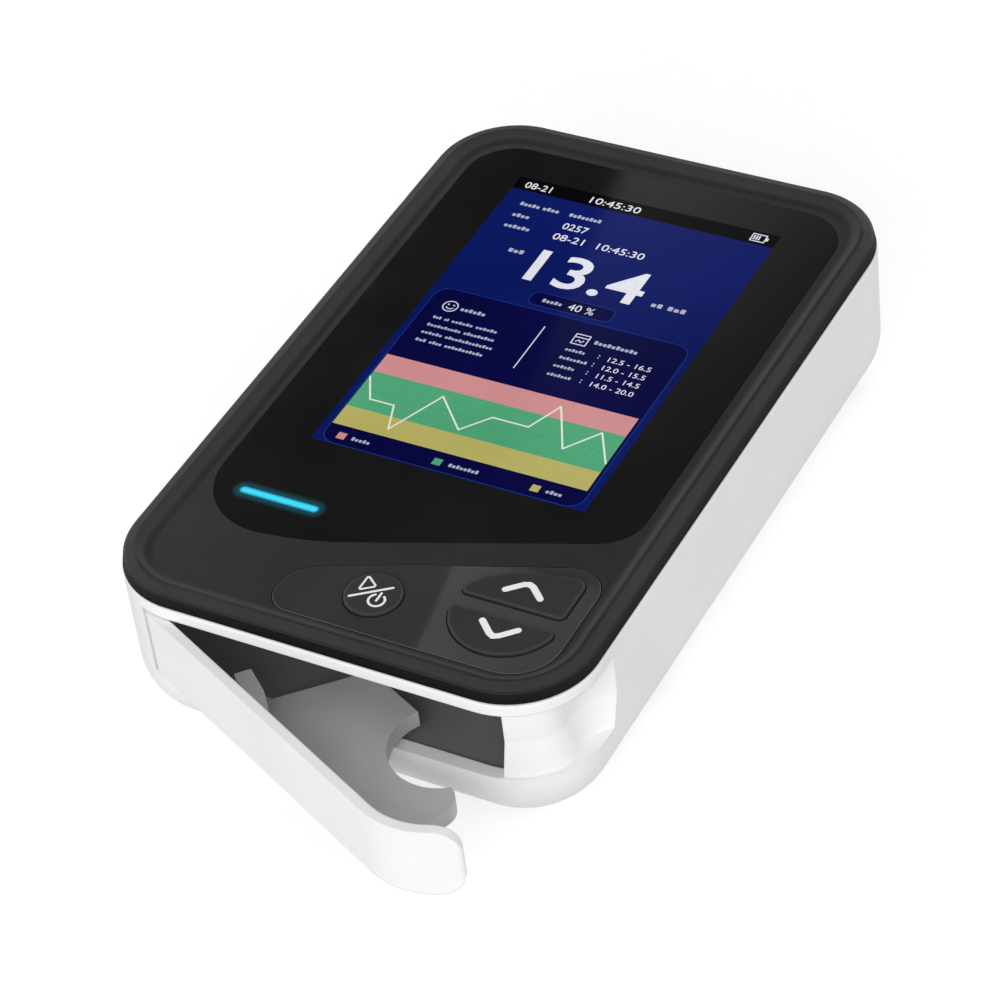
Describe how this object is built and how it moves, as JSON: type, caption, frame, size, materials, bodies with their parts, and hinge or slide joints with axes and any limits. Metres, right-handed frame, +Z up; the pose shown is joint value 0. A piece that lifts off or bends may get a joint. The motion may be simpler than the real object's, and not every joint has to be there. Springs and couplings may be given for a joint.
{
  "type": "blood analyzer",
  "caption": "Handheld haemoglobin analyzer: white shell, black top with display and keys, and a swinging door that carries the cuvette tray.",
  "frame": {"origin": "centre of the shell's flat underside", "axes": "+Z up through the display, -Y towards the cuvette door, +X to the right seen from the door"},
  "size_m": [0.0814, 0.1539, 0.0311],
  "materials": {
    "white_shell": "semi-gloss moulded white",
    "black_cover": "fine matte black",
    "window": "polished black",
    "display": "display face",
    "light_pipe": "lit cyan light pipe",
    "key_panel": "satin black",
    "key": "satin black",
    "dark_metal": "plain",
    "board": "solder mask",
    "led": "clear moulded",
    "bay_grey": "matte dark grey, low reflection",
    "magnet": "plated",
    "optic_glass": "polished",
    "steel": "bright",
    "tray_grey": "matte mid grey",
    "ribbon": "film",
    "battery_wrap": "shrink film",
    "rubber_black": "soft"
  },
  "bodies": {
    "body": {"lower_housing": "white_shell", "top_cover": "black_cover", "display_window": "window", "lcd_module": "display", "led_light_bar": "light_pipe", "keypad_panel": "key_panel", "tact_switches": "dark_metal", "button_board": "board", "status_leds": "led", "bay_liner": "bay_grey", "catch_magnet": "magnet", "optics_base": "bay_grey", "emitter_led": "led", "optics_lens": "optic_glass", "detector_housing": "bay_grey", "detector_board": "board", "hinge_pin": "steel", "main_board": "board", "display_flex": "ribbon", "battery_pack": "battery_wrap", "buzzer": "black_cover", "usb_socket": "steel", "rubber_feet": "rubber_black", "housing_screws": "steel", "board_screws": "steel", "bay_screws": "steel"},
    "door": {"door_panel": "white_shell", "cuvette_tray": "tray_grey", "tray_screws": "steel", "door_magnet": "magnet"},
    "power_key": {"power_button": "key"},
    "up_key": {"up_button": "key"},
    "down_key": {"down_button": "key"}
  },
  "joints": [
    {"name": "door_hinge", "type": "hinge", "parent": "body", "child": "door", "pos_m": [-0.0296, -0.06245, 0.019], "axis": [0, 0, 1], "range_deg": [0, 25]},
    {"name": "power_press", "type": "slide", "parent": "body", "child": "power_key", "axis": [0, 0, -1], "range_m": [0, 0.00035], "stiffness_N_per_m": 400, "springref_m": -0.0005},
    {"name": "up_press", "type": "slide", "parent": "body", "child": "up_key", "axis": [0, 0, -1], "range_m": [0, 0.00035], "stiffness_N_per_m": 400, "springref_m": -0.0005},
    {"name": "down_press", "type": "slide", "parent": "body", "child": "down_key", "axis": [0, 0, -1], "range_m": [0, 0.00035], "stiffness_N_per_m": 400, "springref_m": -0.0005}
  ]
}
